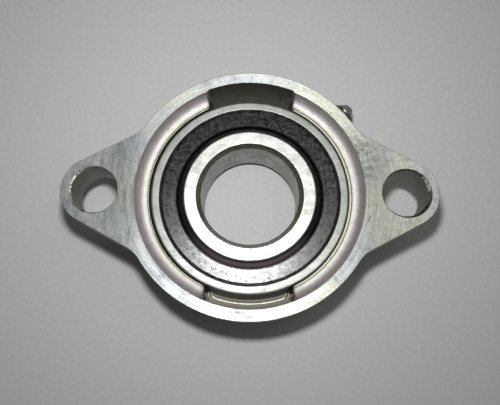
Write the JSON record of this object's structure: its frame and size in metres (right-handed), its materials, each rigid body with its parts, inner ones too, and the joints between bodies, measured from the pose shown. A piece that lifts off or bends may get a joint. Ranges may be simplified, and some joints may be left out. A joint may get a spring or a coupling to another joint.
{
  "type": "flange mount bearing",
  "caption": "Oval two-bolt flange housing with a sealed ball bearing insert that swivels in a spherical seat, loading slots and a grease nipple.",
  "frame": {"origin": "on the bearing axis, level with the front rim of the hub that the unit lies on (bottom centre of the bounding box)", "axes": "+Z along the bearing axis towards the mounting face, +X through the two bolt holes, +Y through one loading slot; the grease nipple points between +X and +Y"},
  "size_m": [0.0936, 0.063, 0.0195],
  "materials": {
    "cast_housing": "machined mounting face and recess, satin silver; hub and ear sides as cast",
    "nipple_steel": "dark oiled steel",
    "ring_steel": "ground bearing steel",
    "ball_steel": "polished bearing steel",
    "pressed_steel": "pressed bright steel",
    "seal_rubber": "moulded black rubber with grey wear"
  },
  "bodies": {
    "housing_body": {"housing": "cast_housing", "nipple_body": "nipple_steel", "nipple_spring": "pressed_steel"},
    "nipple_valve": {"nipple_check_ball": "ball_steel"},
    "outer_race": {"outer_ring": "ring_steel", "seal_back": "seal_rubber", "seal_front": "seal_rubber", "seal_washer_back": "pressed_steel", "seal_washer_front": "pressed_steel"},
    "inner_race": {"inner_ring": "ring_steel"},
    "cage": {"cage_back": "pressed_steel", "cage_front": "pressed_steel", "cage_rivet_1": "pressed_steel", "cage_rivet_2": "pressed_steel", "cage_rivet_3": "pressed_steel", "cage_rivet_4": "pressed_steel", "cage_rivet_5": "pressed_steel", "cage_rivet_6": "pressed_steel", "cage_rivet_7": "pressed_steel", "cage_rivet_8": "pressed_steel", "cage_rivet_9": "pressed_steel"},
    "ball_1_body": {"ball_1": "ball_steel"},
    "ball_2_body": {"ball_2": "ball_steel"},
    "ball_3_body": {"ball_3": "ball_steel"},
    "ball_4_body": {"ball_4": "ball_steel"},
    "ball_5_body": {"ball_5": "ball_steel"},
    "ball_6_body": {"ball_6": "ball_steel"},
    "ball_7_body": {"ball_7": "ball_steel"},
    "ball_8_body": {"ball_8": "ball_steel"},
    "ball_9_body": {"ball_9": "ball_steel"}
  },
  "joints": [
    {"name": "insert_swivel", "type": "hinge", "parent": "housing_body", "child": "outer_race", "pos_m": [0, 0, 0.0085], "axis": [0, 1, 0], "range_deg": [-90, 90]},
    {"name": "inner_spin", "type": "hinge", "parent": "outer_race", "child": "inner_race", "pos_m": [0, 0, 0.0085], "axis": [0, 0, 1], "continuous": true},
    {"name": "cage_spin", "type": "hinge", "parent": "outer_race", "child": "cage", "pos_m": [0, 0, 0.0085], "axis": [0, 0, 1], "continuous": true},
    {"name": "ball_1_spin", "type": "hinge", "parent": "cage", "child": "ball_1_body", "pos_m": [0.01952, 0, 0.0085], "axis": [0, 0, 1], "continuous": true},
    {"name": "ball_2_spin", "type": "hinge", "parent": "cage", "child": "ball_2_body", "pos_m": [0.01495, 0.01255, 0.0085], "axis": [0, 0, 1], "continuous": true},
    {"name": "ball_3_spin", "type": "hinge", "parent": "cage", "child": "ball_3_body", "pos_m": [0.00339, 0.01922, 0.0085], "axis": [0, 0, 1], "continuous": true},
    {"name": "ball_4_spin", "type": "hinge", "parent": "cage", "child": "ball_4_body", "pos_m": [-0.00976, 0.0169, 0.0085], "axis": [0, 0, 1], "continuous": true},
    {"name": "ball_5_spin", "type": "hinge", "parent": "cage", "child": "ball_5_body", "pos_m": [-0.01834, 0.00668, 0.0085], "axis": [0, 0, 1], "continuous": true},
    {"name": "ball_6_spin", "type": "hinge", "parent": "cage", "child": "ball_6_body", "pos_m": [-0.01834, -0.00668, 0.0085], "axis": [0, 0, 1], "continuous": true},
    {"name": "ball_7_spin", "type": "hinge", "parent": "cage", "child": "ball_7_body", "pos_m": [-0.00976, -0.0169, 0.0085], "axis": [0, 0, 1], "continuous": true},
    {"name": "ball_8_spin", "type": "hinge", "parent": "cage", "child": "ball_8_body", "pos_m": [0.00339, -0.01922, 0.0085], "axis": [0, 0, 1], "continuous": true},
    {"name": "ball_9_spin", "type": "hinge", "parent": "cage", "child": "ball_9_body", "pos_m": [0.01495, -0.01255, 0.0085], "axis": [0, 0, 1], "continuous": true},
    {"name": "nipple_valve_slide", "type": "slide", "parent": "housing_body", "child": "nipple_valve", "axis": [-0.7034, -0.7108, 0], "range_m": [0, 0.001], "stiffness_N_per_m": 800, "springref_m": -0.001, "deforming": ["nipple_spring"]}
  ],
  "couplings": [
    {"joint": "cage_spin", "follows": "inner_spin", "ratio": 0.39833},
    {"joint": "ball_1_spin", "follows": "inner_spin", "ratio": -2.3574},
    {"joint": "ball_2_spin", "follows": "inner_spin", "ratio": -2.3574},
    {"joint": "ball_3_spin", "follows": "inner_spin", "ratio": -2.3574},
    {"joint": "ball_4_spin", "follows": "inner_spin", "ratio": -2.3574},
    {"joint": "ball_5_spin", "follows": "inner_spin", "ratio": -2.3574},
    {"joint": "ball_6_spin", "follows": "inner_spin", "ratio": -2.3574},
    {"joint": "ball_7_spin", "follows": "inner_spin", "ratio": -2.3574},
    {"joint": "ball_8_spin", "follows": "inner_spin", "ratio": -2.3574},
    {"joint": "ball_9_spin", "follows": "inner_spin", "ratio": -2.3574}
  ]
}
